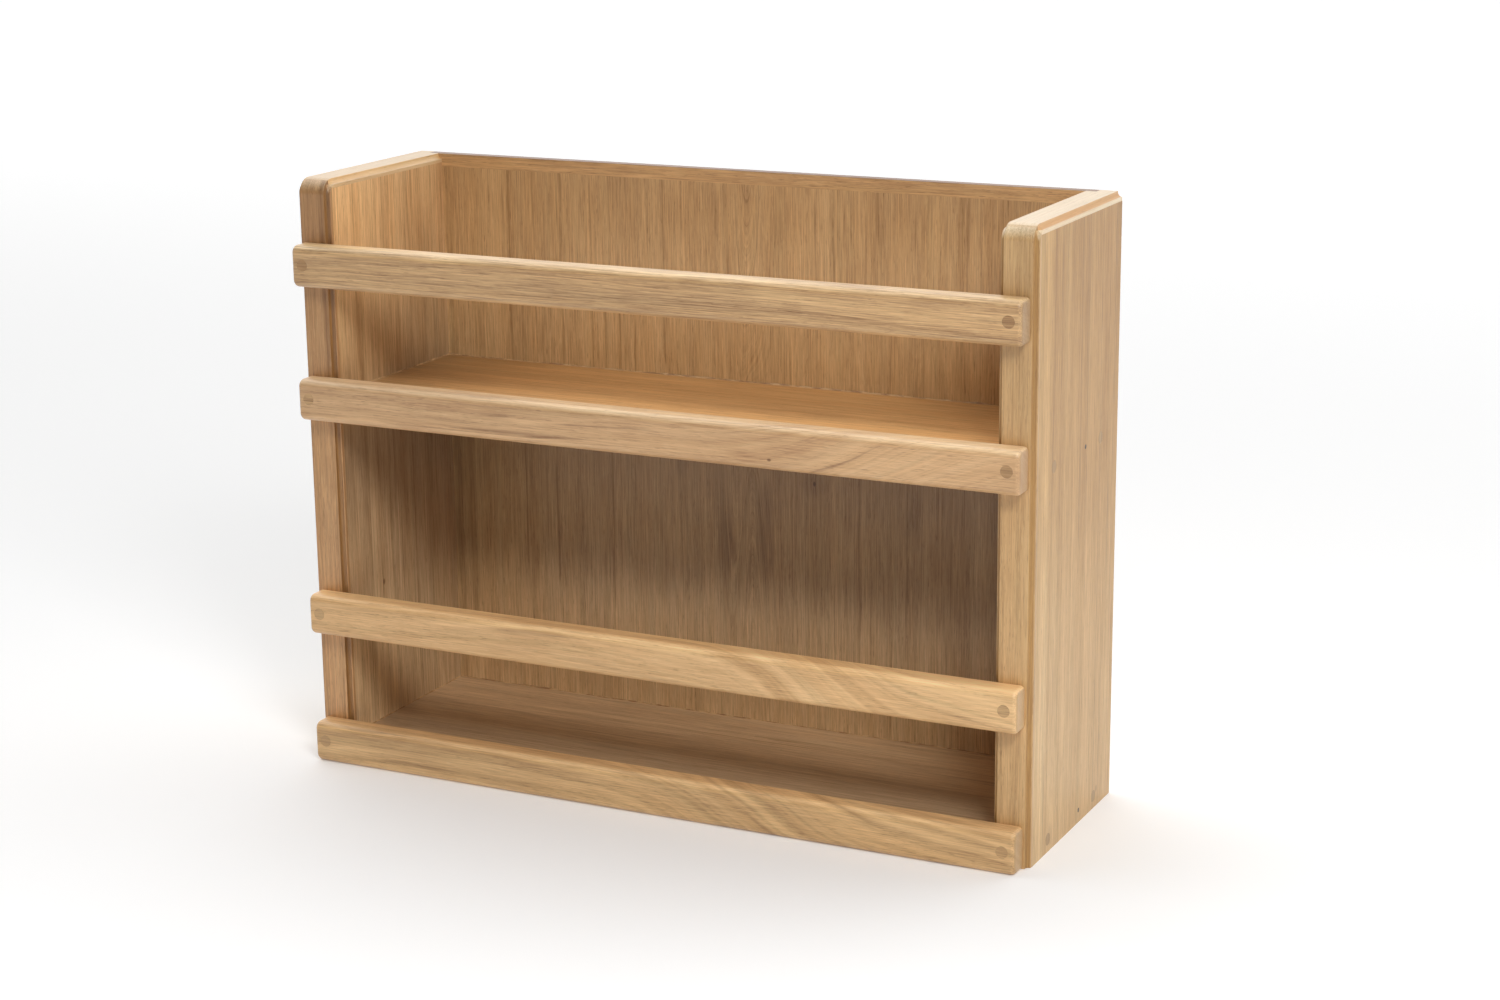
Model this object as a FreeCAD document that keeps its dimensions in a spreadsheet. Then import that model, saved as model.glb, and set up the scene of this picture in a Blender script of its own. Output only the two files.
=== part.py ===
import FreeCAD, Part
import os
import re
from math import radians

import Sketcher
from FreeCAD import Placement, Rotation, Vector

# Two-tier teak magazine rack. X runs to the right, Y to the back and Z up; the origin is
# the middle of the footprint, at the bottom. The front rails face -Y. Millimetres.

doc = FreeCAD.newDocument("magazine_rack")

# ---------------------------------------------------------------- driving dimensions

DIMENSIONS = [
    ("overall_width", 520, "over the outer faces of the two side panels"),
    ("overall_height", 400, "bottom to the tops of the sides and the back"),
    ("side_depth", 150, "front edge to back edge of a side panel"),
    ("side_thick", 24.5, "thickness of a side panel"),
    ("lipping_thick", 6, "solid lipping on the front and top edges of a side"),
    ("corner_radius", 10.4, "rounded front top corner of a side"),
    ("cove_radius", 2.8, "hollow of the stepped cove along the edges of a side"),
    ("cove_step", 0.8, "square step between the flat edge and the hollow"),
    ("rebate_width", 10, "how far the back panel is let into each side"),
    ("back_thick", 8, "thickness of the back panel"),
    ("back_lipping", 9, "height of the solid lipping on top of the back"),
    ("shelf_thick", 17, "thickness of a shelf"),
    ("shelf_top", 257, "top face of the upper shelf above the bottom"),
    ("housing_depth", 6, "how far a shelf end is let into a side"),
    ("rail_height", 28, "height of a front rail"),
    ("rail_thick", 15, "thickness of a front rail"),
    ("rail_inset", 4, "rail end to the outer face of a side"),
    ("rail_round", 5, "rounding of the long front edges of a rail"),
    ("rail_end_round", 3, "rounding of the ends of a rail"),
    ("rail_ease", 1, "eased long back edges of a rail"),
    ("middle_rail_low", 91, "underside of the middle rail"),
    ("shelf_rail_low", 240, "underside of the rail at the upper shelf"),
    ("top_rail_low", 330, "underside of the top rail"),
    ("rail_screw_rise", 15, "rail underside to the screw centre"),
    ("plug_diameter", 8, "wooden plug over a sunk screw"),
    ("plug_depth", 5, "thickness of a plug"),
    ("screw_diameter", 4, "shank of a wood screw"),
    ("screw_head", 7.6, "diameter of a countersunk head"),
    ("screw_head_deep", 2.4, "depth of a countersunk head"),
    ("screw_tip", 5, "length of a screw's point"),
    ("slot_width", 1.1, "width of a screw's slot"),
    ("slot_deep", 1.2, "depth of a screw's slot"),
    ("rail_screw_length", 35, "screw through a rail into a side"),
    ("shelf_screw_length", 45, "screw through a side into a shelf"),
    ("back_screw_length", 28, "screw through the back"),
    ("shelf_screw_front", 33.5, "front of a side to its first shelf screw"),
    ("shelf_screw_back", 118, "front of a side to its second shelf screw"),
    ("pin_diameter", 1.8, "panel pin through a side into a shelf"),
    ("pin_head", 3, "diameter of a pin's head"),
    ("pin_head_deep", 1, "thickness of a pin's head"),
    ("pin_length", 40, "length of a panel pin"),
    ("back_screw_pitch", 120, "spacing of the screws along a shelf's back edge"),
]

sheet = doc.addObject("Spreadsheet::Sheet", "Dimensions")
for row, (alias, value, note) in enumerate(DIMENSIONS, 1):
    sheet.set(f"A{row}", note)
    sheet.set(f"B{row}", str(value))
    sheet.setAlias(f"B{row}", alias)
doc.recompute()

ALIASES = {alias for alias, _, _ in DIMENSIONS}

# Places that several pieces share, as expressions of the cells above.
FRONT = "(rail_thick - side_depth) / 2"
BACK = "(rail_thick + side_depth) / 2"
BACK_FACE = f"{BACK} - back_thick"
HALF_WIDTH = "overall_width / 2"
SIDE_MIDDLE = "(overall_width - side_thick) / 2"
COVE_DEPTH = "(cove_step + cove_radius)"
HALF_THICK = "side_thick / 2"
CLEAR = 1  # how far a cutter runs past the face it cuts

# Underside of each rail, and top face of each shelf.
RAILS = {
    "bottom_rail": "0",
    "middle_rail": "middle_rail_low",
    "upper_shelf_rail": "shelf_rail_low",
    "top_rail": "top_rail_low",
}
SHELVES = {"lower_shelf": "shelf_thick", "upper_shelf": "shelf_top"}


# ---------------------------------------------------------------- small helpers


def cells(text):
    """The expression with each alias written as a cell of the spreadsheet."""
    return re.sub(
        r"[a-z_]+", lambda m: f"Dimensions.{m[0]}" if m[0] in ALIASES else m[0], text
    )


def number(text):
    """The present value of an expression."""
    value = sheet.evalExpression(cells(text))
    return float(getattr(value, "Value", value))


def bind(thing, **sizes):
    for name, text in sizes.items():
        thing.setExpression(name, cells(text))


def place(thing, x, y, z, rotation=None):
    if rotation:
        thing.Placement = Placement(Vector(), rotation)
    for axis, text in zip("xyz", (x, y, z)):
        thing.setExpression(f"Placement.Base.{axis}", cells(text))


def primitive(kind, name, at, rotation=None, **sizes):
    solid = doc.addObject(f"Part::{kind}", name)
    bind(solid, **sizes)
    place(solid, *at, rotation)
    return solid


def fuse(name, solids):
    joined = doc.addObject("Part::MultiFuse", name)
    joined.Shapes = solids
    return joined


def group(name, solids):
    together = doc.addObject("Part::Compound", name)
    together.Links = solids
    together.Label = name
    return together


def cut(name, base, tool):
    piece = doc.addObject("Part::Cut", name)
    piece.Base = base
    piece.Tool = tool
    piece.Label = name
    return piece


def common(name, base, tool):
    piece = doc.addObject("Part::Common", name)
    piece.Base = base
    piece.Tool = tool
    piece.Label = name
    return piece


def mirrored(name, source):
    """The same piece for the left-hand side."""
    piece = doc.addObject("Part::Mirroring", name)
    piece.Source = source
    piece.Normal = Vector(1, 0, 0)
    piece.Label = name
    return piece


def new_body(name):
    body = doc.addObject("PartDesign::Body", name)
    body.Label = name
    return body


def origin_plane(body, role):
    return next(f for f in body.Origin.OriginFeatures if f.Role == role)


def new_sketch(body, name, role):
    sketch = body.newObject("Sketcher::SketchObject", name)
    sketch.AttachmentSupport = [(origin_plane(body, role), "")]
    sketch.MapMode = "FlatFace"
    return sketch


def pin_point(sketch, index, end, at):
    """Holds one end of a sketch element at a point given by two expressions."""
    for kind, text in zip(("DistanceX", "DistanceY"), at):
        constraint = Sketcher.Constraint(kind, -1, 1, index, end, number(text))
        where = sketch.addConstraint(constraint)
        sketch.setExpression(f"Constraints[{where}]", cells(text))


def point(at):
    return Vector(number(at[0]), number(at[1]), 0)


def draw_line(sketch, start, finish):
    index = sketch.addGeometry(Part.LineSegment(point(start), point(finish)), False)
    pin_point(sketch, index, 1, start)
    pin_point(sketch, index, 2, finish)


def draw_polygon(sketch, corners):
    """A closed outline. Each side holds its first corner and meets the next side's."""
    first = sketch.GeometryCount
    count = len(corners)
    for i, corner in enumerate(corners):
        after = corners[(i + 1) % count]
        sketch.addGeometry(Part.LineSegment(point(corner), point(after)), False)
    for i, corner in enumerate(corners):
        following = first + (i + 1) % count
        sketch.addConstraint(Sketcher.Constraint("Coincident", first + i, 2, following, 1))
        pin_point(sketch, first + i, 1, corner)


def draw_quarter(sketch, centre, radius, start, finish):
    """An anticlockwise arc from the angle start to the angle finish, in degrees."""
    circle = Part.Circle(point(centre), Vector(0, 0, 1), number(radius))
    arc = Part.ArcOfCircle(circle, radians(start), radians(finish))
    index = sketch.addGeometry(arc, False)
    pin_point(sketch, index, 3, centre)
    where = sketch.addConstraint(Sketcher.Constraint("Radius", index, number(radius)))
    sketch.setExpression(f"Constraints[{where}]", cells(radius))
    return index


def pad(body, name, sketch, length):
    feature = body.newObject("PartDesign::Pad", name)
    feature.Profile = sketch
    bind(feature, Length=length)
    return feature


def pocket(body, name, sketch, length):
    """Cuts from the sketch along its normal, into the solid."""
    before = body.Shape.Volume
    feature = body.newObject("PartDesign::Pocket", name)
    feature.Profile = sketch
    feature.Reversed = True
    bind(feature, Length=length)
    doc.recompute()
    if body.Shape.Volume >= before:
        raise RuntimeError(f"{name} cuts nothing")
    return feature


def edge_names(shape, wanted):
    return [f"Edge{i}" for i, edge in enumerate(shape.Edges, 1) if wanted(edge)]


def fillet(body, name, base, wanted, radius):
    doc.recompute()
    feature = body.newObject("PartDesign::Fillet", name)
    feature.Base = (base, edge_names(base.Shape, wanted))
    bind(feature, Radius=radius)
    doc.recompute()
    return feature


def within(edge, **limits):
    """True if the whole edge lies at the given x, y or z."""
    box = edge.BoundBox
    spans = {"x": (box.XMin, box.XMax), "y": (box.YMin, box.YMax), "z": (box.ZMin, box.ZMax)}
    tolerance = 1e-4
    return all(
        abs(end - value) < tolerance for axis, value in limits.items() for end in spans[axis]
    )


# ---------------------------------------------------------------- fasteners

# Each fastener points from its entry face into the wood.
UP = Vector(0, 0, 1)
INWARD = Rotation(UP, Vector(0, 1, 0))
FORWARD = Rotation(UP, Vector(0, -1, 0))
SIDEWAYS = {side: Rotation(UP, Vector(-side, 0, 0)) for side in (-1, 1)}


def driven(entry, rotation, deep):
    """The point that lies this deep along a fastener, as three expressions."""
    way = rotation.multVec(Vector(0, 0, 1))
    return [f"{at} + ({deep}) * {round(step)}" for at, step in zip(entry, way)]


def wood_screw(name, entry, rotation, sunk, length):
    """A countersunk screw, as it is cut from the wood, and the same with its slot."""
    neck = f"{sunk} + screw_head_deep"
    point_start = f"{sunk} + {length} - screw_tip"
    head = primitive(
        "Cone", f"{name}_head", driven(entry, rotation, sunk), rotation,
        Radius1="screw_head / 2", Radius2="screw_diameter / 2", Height="screw_head_deep",
    )
    shank = primitive(
        "Cylinder", f"{name}_shank", driven(entry, rotation, neck), rotation,
        Radius="screw_diameter / 2", Height=f"{length} - screw_head_deep - screw_tip",
    )
    tip = primitive(
        "Cone", f"{name}_tip", driven(entry, rotation, point_start), rotation,
        Radius1="screw_diameter / 2", Radius2="screw_diameter / 20", Height="screw_tip",
    )
    whole = fuse(name, [head, shank, tip])
    slot = primitive(
        "Box", f"{name}_slot", driven(entry, rotation, sunk), rotation,
        Length="screw_head + 2", Width="slot_width", Height="slot_deep",
    )
    centre = rotation.multVec(Vector(-number("screw_head / 2 + 1"), -number("slot_width / 2"), 0))
    for axis, at, shift in zip("xyz", driven(entry, rotation, sunk), centre):
        slot.setExpression(f"Placement.Base.{axis}", cells(f"{at} + {shift:.4f}"))
    return whole, cut(f"{name}_slotted", whole, slot)


def wood_plug(name, entry, rotation):
    return primitive(
        "Cylinder", name, entry, rotation, Radius="plug_diameter / 2", Height="plug_depth"
    )


def panel_pin(name, entry, rotation):
    head = primitive(
        "Cylinder", f"{name}_head", entry, rotation,
        Radius="pin_head / 2", Height="pin_head_deep",
    )
    shank = primitive(
        "Cylinder", f"{name}_shank", driven(entry, rotation, "pin_head_deep"), rotation,
        Radius="pin_diameter / 2", Height="pin_length - pin_head_deep",
    )
    return fuse(name, [head, shank])


def rail_fasteners(rail, underside):
    """The screw and plug at each end of one rail, and what they take out of the wood."""
    found = {"screws": [], "plugs": [], "holes": []}
    for side in (-1, 1):
        name = f"{rail}_{'left' if side < 0 else 'right'}"
        entry = (f"{side} * {SIDE_MIDDLE}", f"{FRONT} - rail_thick", f"{underside} + rail_screw_rise")
        whole, slotted = wood_screw(f"{name}_screw", entry, INWARD, "plug_depth", "rail_screw_length")
        plug = wood_plug(f"{name}_plug", entry, INWARD)
        found["screws"].append(slotted)
        found["plugs"].append(plug)
        found["holes"].append(fuse(f"{name}_hole", [whole, plug]))
    return found


def shelf_fasteners(shelf, top):
    """The screws, plugs and pin that hold both ends of one shelf."""
    found = {"screws": [], "plugs": [], "pins": [], "holes": []}
    middle = f"{top} - shelf_thick / 2"
    for side in (-1, 1):
        name = f"{shelf}_{'left' if side < 0 else 'right'}"
        outside = f"{side} * {HALF_WIDTH}"
        turn = SIDEWAYS[side]
        for where in ("front", "back"):
            entry = (outside, f"{FRONT} + shelf_screw_{where}", middle)
            whole, slotted = wood_screw(
                f"{name}_{where}_screw", entry, turn, "plug_depth", "shelf_screw_length"
            )
            plug = wood_plug(f"{name}_{where}_plug", entry, turn)
            found["screws"].append(slotted)
            found["plugs"].append(plug)
            found["holes"].append(fuse(f"{name}_{where}_hole", [whole, plug]))
        halfway = f"{FRONT} + (shelf_screw_front + 2 * shelf_screw_back) / 3"
        pin = panel_pin(f"{name}_pin", (outside, halfway, middle), turn)
        found["pins"].append(pin)
        found["holes"].append(pin)
    return found


def back_fasteners():
    """Screws through the back, along each shelf and up each side."""
    screws = []
    holes = []
    spots = [
        (f"{step} * back_screw_pitch / 2", f"{top} - shelf_thick / 2")
        for top in SHELVES.values()
        for step in (-3, -1, 1, 3)
    ]
    spots += [
        (f"{side} * ({HALF_WIDTH} - side_thick + rebate_width / 2)", f"overall_height * {part} / 20")
        for side in (-1, 1)
        for part in (3, 8, 17)
    ]
    for index, (x, z) in enumerate(spots, 1):
        whole, slotted = wood_screw(
            f"back_screw_{index}", (x, BACK, z), FORWARD, "0", "back_screw_length"
        )
        screws.append(slotted)
        holes.append(whole)
    return screws, holes


rail_sets = {rail: rail_fasteners(rail, underside) for rail, underside in RAILS.items()}
shelf_sets = {shelf: shelf_fasteners(shelf, top) for shelf, top in SHELVES.items()}
back_screw_list, back_hole_list = back_fasteners()

rail_screws = group("rail_screws", [s for found in rail_sets.values() for s in found["screws"]])
rail_plugs = group("rail_plugs", [s for found in rail_sets.values() for s in found["plugs"]])
shelf_screws = group("shelf_screws", [s for found in shelf_sets.values() for s in found["screws"]])
shelf_plugs = group("shelf_plugs", [s for found in shelf_sets.values() for s in found["plugs"]])
shelf_pins = group("shelf_pins", [s for found in shelf_sets.values() for s in found["pins"]])
back_screws = group("back_screws", back_screw_list)

rail_holes = [hole for found in rail_sets.values() for hole in found["holes"]]
shelf_holes = [hole for found in shelf_sets.values() for hole in found["holes"]]
all_holes = group("all_holes", rail_holes + shelf_holes + back_hole_list)


# ---------------------------------------------------------------- side panels


def side_blank():
    """A whole right-hand side: rounded corner, stepped coves, rebate and housings.
    Its own frame has x = 0 at mid thickness and y = 0 at the front edge."""
    body = new_body("side_blank")
    outline = new_sketch(body, "side_outline", "YZ_Plane")
    draw_polygon(
        outline,
        [("0", "0"), ("side_depth", "0"), ("side_depth", "overall_height"), ("0", "overall_height")],
    )
    slab = pad(body, "side_slab", outline, "side_thick")
    slab.SideType = "Symmetric"
    height = number("overall_height")
    fillet(body, "side_corner", slab, lambda e: within(e, y=0, z=height), "corner_radius")

    path = new_sketch(body, "cove_path", "YZ_Plane")
    turn_start = "overall_height - corner_radius"
    draw_line(path, ("0", "0"), ("0", turn_start))
    draw_quarter(path, ("corner_radius", turn_start), "corner_radius", 90, 180)
    draw_line(path, ("corner_radius", "overall_height"), (f"side_depth + {CLEAR}", "overall_height"))

    section = new_sketch(body, "cove_section", "XY_Plane")
    flat_edge = f"{HALF_THICK} - cove_radius"
    outside = f"{HALF_THICK} + {CLEAR}"
    draw_line(section, (f"{HALF_THICK}", COVE_DEPTH), (outside, COVE_DEPTH))
    draw_line(section, (outside, COVE_DEPTH), (outside, f"-{CLEAR}"))
    draw_line(section, (outside, f"-{CLEAR}"), (flat_edge, f"-{CLEAR}"))
    draw_line(section, (flat_edge, f"-{CLEAR}"), (flat_edge, "cove_step"))
    draw_quarter(section, (HALF_THICK, "cove_step"), "cove_radius", 90, 180)
    doc.recompute()

    before = body.Shape.Volume
    cove = body.newObject("PartDesign::SubtractivePipe", "cove")
    cove.Profile = section
    cove.Spine = path
    doc.recompute()
    one_cove = before - body.Shape.Volume
    both = body.newObject("PartDesign::Mirrored", "both_coves")
    both.Originals = [cove]
    both.MirrorPlane = (origin_plane(body, "YZ_Plane"), [""])
    body.Tip = both
    doc.recompute()
    if one_cove <= 0 or before - body.Shape.Volume < 1.9 * one_cove:
        raise RuntimeError("the coves are not both cut")

    rebate = new_sketch(body, "rebate_section", "XY_Plane")
    rebate_in = f"rebate_width - {HALF_THICK}"
    rebate_out = f"-{HALF_THICK} - {CLEAR}"
    draw_polygon(
        rebate,
        [
            (rebate_out, "side_depth - back_thick"),
            (rebate_in, "side_depth - back_thick"),
            (rebate_in, f"side_depth + {CLEAR}"),
            (rebate_out, f"side_depth + {CLEAR}"),
        ],
    )
    pocket(body, "rebate", rebate, "overall_height")

    for shelf, top in SHELVES.items():
        housing = new_sketch(body, f"{shelf}_housing_outline", "YZ_Plane")
        housing.setExpression("AttachmentOffset.Base.z", cells(f"-{HALF_THICK}"))
        reach = f"side_depth - back_thick + {CLEAR}"
        draw_polygon(
            housing,
            [
                ("lipping_thick", f"{top} - shelf_thick"),
                (reach, f"{top} - shelf_thick"),
                (reach, top),
                ("lipping_thick", top),
            ],
        )
        pocket(body, f"{shelf}_housing", housing, "housing_depth")
    place(body, SIDE_MIDDLE, FRONT, "0")
    return body


def region(name, y_start, y_size, z_start, z_size):
    """A box wider than a side, from one depth and height."""
    return primitive(
        "Box", name, (f"{SIDE_MIDDLE} - side_thick", y_start, z_start),
        Length="2 * side_thick", Width=y_size, Height=z_size,
    )


drilled_side = cut("drilled_side", side_blank(), all_holes)
behind_lipping = f"{FRONT} + lipping_thick"
board_depth = "side_depth - lipping_thick"
board_height = "overall_height - lipping_thick"
front_region = region("front_region", FRONT, "lipping_thick", "0", "overall_height")
top_region = region("top_region", behind_lipping, board_depth, board_height, "lipping_thick")
board_region = region("board_region", behind_lipping, board_depth, "0", board_height)

right_front_lipping = common("right_front_lipping", drilled_side, front_region)
right_top_lipping = common("right_top_lipping", drilled_side, top_region)
right_side_board = common("right_side_board", drilled_side, board_region)
left_front_lipping = mirrored("left_front_lipping", right_front_lipping)
left_top_lipping = mirrored("left_top_lipping", right_top_lipping)
left_side_board = mirrored("left_side_board", right_side_board)


# ---------------------------------------------------------------- back panel

back_width = "overall_width - 2 * side_thick + 2 * rebate_width"
back_at = f"-({back_width}) / 2"
back_blank = primitive(
    "Box", "back_blank", (back_at, BACK_FACE, "0"),
    Length=back_width, Width="back_thick", Height="overall_height - back_lipping",
)
back_panel = cut("back_panel", back_blank, all_holes)
back_top_lipping = primitive(
    "Box", "back_top_lipping", (back_at, BACK_FACE, "overall_height - back_lipping"),
    Length=back_width, Width="back_thick", Height="back_lipping",
)


# ---------------------------------------------------------------- shelves


def make_shelf(name, top):
    """A shelf whose ends enter the housings, notched round the front lippings."""
    body = new_body(f"{name}_blank")
    outline = new_sketch(body, f"{name}_outline", "XY_Plane")
    inner = f"({HALF_WIDTH} - side_thick)"
    outer = f"({inner} + housing_depth)"
    depth = "side_depth - back_thick"
    draw_polygon(
        outline,
        [
            (f"-{inner}", "0"),
            (inner, "0"),
            (inner, "lipping_thick"),
            (outer, "lipping_thick"),
            (outer, depth),
            (f"-{outer}", depth),
            (f"-{outer}", "lipping_thick"),
            (f"-{inner}", "lipping_thick"),
        ],
    )
    pad(body, f"{name}_slab", outline, "shelf_thick")
    place(body, "0", FRONT, f"{top} - shelf_thick")
    return cut(name, body, all_holes)


shelves = [make_shelf(name, top) for name, top in SHELVES.items()]


# ---------------------------------------------------------------- front rails


def make_rail(name, underside):
    """A rail with rounded front edges and ends, planted on the front lippings."""
    body = new_body(f"{name}_blank")
    section = new_sketch(body, f"{name}_section", "YZ_Plane")
    draw_polygon(
        section,
        [("-rail_thick", "0"), ("0", "0"), ("0", "rail_height"), ("-rail_thick", "rail_height")],
    )
    bar = pad(body, f"{name}_bar", section, "overall_width - 2 * rail_inset")
    bar.SideType = "Symmetric"
    doc.recompute()
    front = -number("rail_thick")
    end = number(f"{HALF_WIDTH} - rail_inset")
    tall = number("rail_height")

    def long_edge(depth):
        return lambda e: within(e, y=depth, z=0) or within(e, y=depth, z=tall)

    def end_edge(e):
        return (within(e, x=end) or within(e, x=-end)) and not within(e, y=0)

    rounded = fillet(body, f"{name}_round", bar, long_edge(front), "rail_round")
    ended = fillet(body, f"{name}_ends", rounded, end_edge, "rail_end_round")
    fillet(body, f"{name}_ease", ended, long_edge(0), "rail_ease")
    place(body, "0", FRONT, underside)
    return cut(name, body, group(f"{name}_holes", rail_sets[name]["holes"]))


rails = [make_rail(name, underside) for name, underside in RAILS.items()]


# ---------------------------------------------------------------- checks and files

pieces = [
    left_side_board, left_front_lipping, left_top_lipping,
    right_side_board, right_front_lipping, right_top_lipping,
    back_panel, back_top_lipping,
    *shelves, *rails,
    rail_screws, rail_plugs, shelf_screws, shelf_plugs, shelf_pins, back_screws,
]

doc.recompute()
for thing in doc.Objects:
    if "Invalid" in thing.State or "Error" in thing.State:
        raise RuntimeError(f"{thing.Name} failed: {thing.State}")
for piece in pieces:
    if piece.Shape.isNull() or not piece.Shape.isValid():
        raise RuntimeError(f"{piece.Label} has no valid shape")

os.makedirs("parts", exist_ok=True)
for piece in pieces:
    piece.Shape.exportStep(f"parts/{piece.Label}.step")
    print(f"{piece.Label}: {len(piece.Shape.Solids)} solids, {piece.Shape.Volume:.0f} mm3")
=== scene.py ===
import bmesh
import bpy
from math import cos, pi, radians, sin
from mathutils import Matrix, Vector, noise
from mathutils.bvhtree import BVHTree


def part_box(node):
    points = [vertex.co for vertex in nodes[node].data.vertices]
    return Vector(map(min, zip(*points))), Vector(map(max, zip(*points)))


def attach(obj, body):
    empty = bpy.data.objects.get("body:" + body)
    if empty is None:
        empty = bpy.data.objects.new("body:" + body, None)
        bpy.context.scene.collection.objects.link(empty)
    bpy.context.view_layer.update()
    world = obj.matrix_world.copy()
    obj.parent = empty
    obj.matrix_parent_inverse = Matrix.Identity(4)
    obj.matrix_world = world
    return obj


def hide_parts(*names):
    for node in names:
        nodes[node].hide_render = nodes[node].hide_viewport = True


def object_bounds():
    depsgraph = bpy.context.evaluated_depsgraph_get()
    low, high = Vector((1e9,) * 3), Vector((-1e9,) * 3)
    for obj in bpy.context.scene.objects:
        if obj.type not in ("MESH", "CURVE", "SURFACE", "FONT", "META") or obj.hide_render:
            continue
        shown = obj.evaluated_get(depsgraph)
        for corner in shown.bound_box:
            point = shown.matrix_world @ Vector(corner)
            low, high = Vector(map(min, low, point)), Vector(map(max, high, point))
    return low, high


# A two-tier teak magazine rack on a pale studio floor. Metres, in the CAD frame: X to the
# right, Y to the back, Z up, with the front rails facing -Y.

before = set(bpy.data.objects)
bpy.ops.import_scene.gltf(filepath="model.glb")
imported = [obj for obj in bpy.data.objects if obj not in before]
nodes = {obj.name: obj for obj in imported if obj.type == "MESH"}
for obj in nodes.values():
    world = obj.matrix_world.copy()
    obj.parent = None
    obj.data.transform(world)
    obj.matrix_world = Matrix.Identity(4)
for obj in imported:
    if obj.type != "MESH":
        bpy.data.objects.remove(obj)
cad_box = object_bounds()

MM = 0.001
X, Y, Z = range(3)

# ---------------------------------------------------------------- where the pieces are

LOW, HIGH = cad_box
MIDDLE = (LOW + HIGH) / 2
SIDE_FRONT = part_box("left_front_lipping")[0].y
BACK_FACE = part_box("back_panel")[0].y
SIDE_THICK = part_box("left_side_board")[1].x - LOW.x
INNER = HIGH.x - SIDE_THICK


# ---------------------------------------------------------------- node helpers


class Graph:
    """Builds the nodes of a material or a world. Sockets and plain numbers can be mixed freely."""

    def __init__(self, owner):
        owner.use_nodes = True
        self.owner = owner
        self.tree = owner.node_tree

    def node(self, kind, **settings):
        made = self.tree.nodes.new(kind)
        for key, value in settings.items():
            setattr(made, key, value)
        return made

    def feed(self, socket, value):
        if isinstance(value, bpy.types.NodeSocket):
            self.tree.links.new(value, socket)
        else:
            socket.default_value = value

    def shade(self, inputs):
        """Feeds the shader's inputs, given by name."""
        shader = self.tree.nodes["Principled BSDF"]
        for key, value in inputs.items():
            self.feed(shader.inputs[key], value)

    def math(self, operation, *values):
        made = self.node("ShaderNodeMath", operation=operation)
        for socket, value in zip(made.inputs, values):
            self.feed(socket, value)
        return made.outputs[0]

    def add(self, *terms):
        total = terms[0]
        for term in terms[1:]:
            total = self.math("ADD", total, term)
        return total

    def times(self, *factors):
        product = factors[0]
        for factor in factors[1:]:
            product = self.math("MULTIPLY", product, factor)
        return product

    def less(self, a, b):
        return self.math("SUBTRACT", a, b)

    def squares(self, a, b):
        return self.add(self.times(a, a), self.times(b, b))

    def bell(self, squared):
        """One where squared is zero, falling smoothly to nothing."""
        return self.math("EXPONENT", self.times(squared, -1))

    def span(self, value, low, high, out_low=0.0, out_high=1.0, smooth=True):
        """Maps value from low..high to out_low..out_high, clamped."""
        made = self.node("ShaderNodeMapRange")
        if smooth:
            made.interpolation_type = "SMOOTHSTEP"
        for socket, number in zip(made.inputs, (value, low, high, out_low, out_high)):
            self.feed(socket, number)
        return made.outputs[0]

    def combine(self, x, y, z):
        made = self.node("ShaderNodeCombineXYZ")
        for socket, value in zip(made.inputs, (x, y, z)):
            self.feed(socket, value)
        return made.outputs[0]

    def axes(self, vector):
        split = self.node("ShaderNodeSeparateXYZ")
        self.feed(split.inputs[0], vector)
        return split.outputs

    def place(self):
        """X, Y and Z in the piece's own coordinates, in metres."""
        return self.axes(self.node("ShaderNodeTexCoord").outputs["Object"])

    def place_mm(self):
        return [self.times(axis, 1 / MM) for axis in self.place()]

    def noise(self, x, y=0.0, z=0.0, detail=2.0, rough=0.5):
        made = self.node("ShaderNodeTexNoise")
        self.feed(made.inputs["Vector"], self.combine(x, y, z))
        self.feed(made.inputs["Scale"], 1.0)
        self.feed(made.inputs["Detail"], detail)
        self.feed(made.inputs["Roughness"], rough)
        return made.outputs["Fac"]

    def mix(self, factor, a, b, blend="MIX"):
        made = self.node("ShaderNodeMix", data_type="RGBA", blend_type=blend)
        self.feed(made.inputs[0], factor)
        self.feed(made.inputs[6], a)
        self.feed(made.inputs[7], b)
        return made.outputs[2]

    def bump(self, height, distance, strength):
        made = self.node("ShaderNodeBump")
        self.feed(made.inputs["Strength"], strength)
        self.feed(made.inputs["Distance"], distance)
        self.feed(made.inputs["Height"], height)
        return made.outputs["Normal"]


def linear(red, green, blue):
    """A colour given by its 0-255 display values."""
    parts = []
    for value in (red, green, blue):
        part = value / 255
        parts.append(part / 12.92 if part <= 0.04045 else ((part + 0.055) / 1.055) ** 2.4)
    return (*parts, 1.0)


def dimmed(colour, factor):
    """The colour at a share of its brightness."""
    return (*[part * factor for part in colour[:3]], 1.0)


# ---------------------------------------------------------------- teak

# Tints that multiply the wood's colour, as linear red, green and blue.
WARM = (1.0, 0.84, 0.62)
GREY = (0.84, 0.89, 0.87)
LINE = (0.46, 0.36, 0.30)
PORE = (0.42, 0.32, 0.24)
TICK = (0.40, 0.30, 0.22)
MARK = (0.49, 0.41, 0.30)
SMOKE = (0.50, 0.42, 0.37)
KNOT = (0.30, 0.19, 0.12)
FLECK = (1.0, 0.72, 0.38)  # this one lightens

OIL_IOR, OIL_COAT, OIL_ROUGH = 1.45, 0.5, 0.38
SEED_STEP = 53.7  # moves each board's noise to a stretch of its own

# How much each part of the figure moves the tone from light to dark.
BAND_SHARE, RING_SHARE, FIBRE_SHARE, CLOUD_SHARE = 0.85, 0.80, 1.7, 0.45

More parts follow.
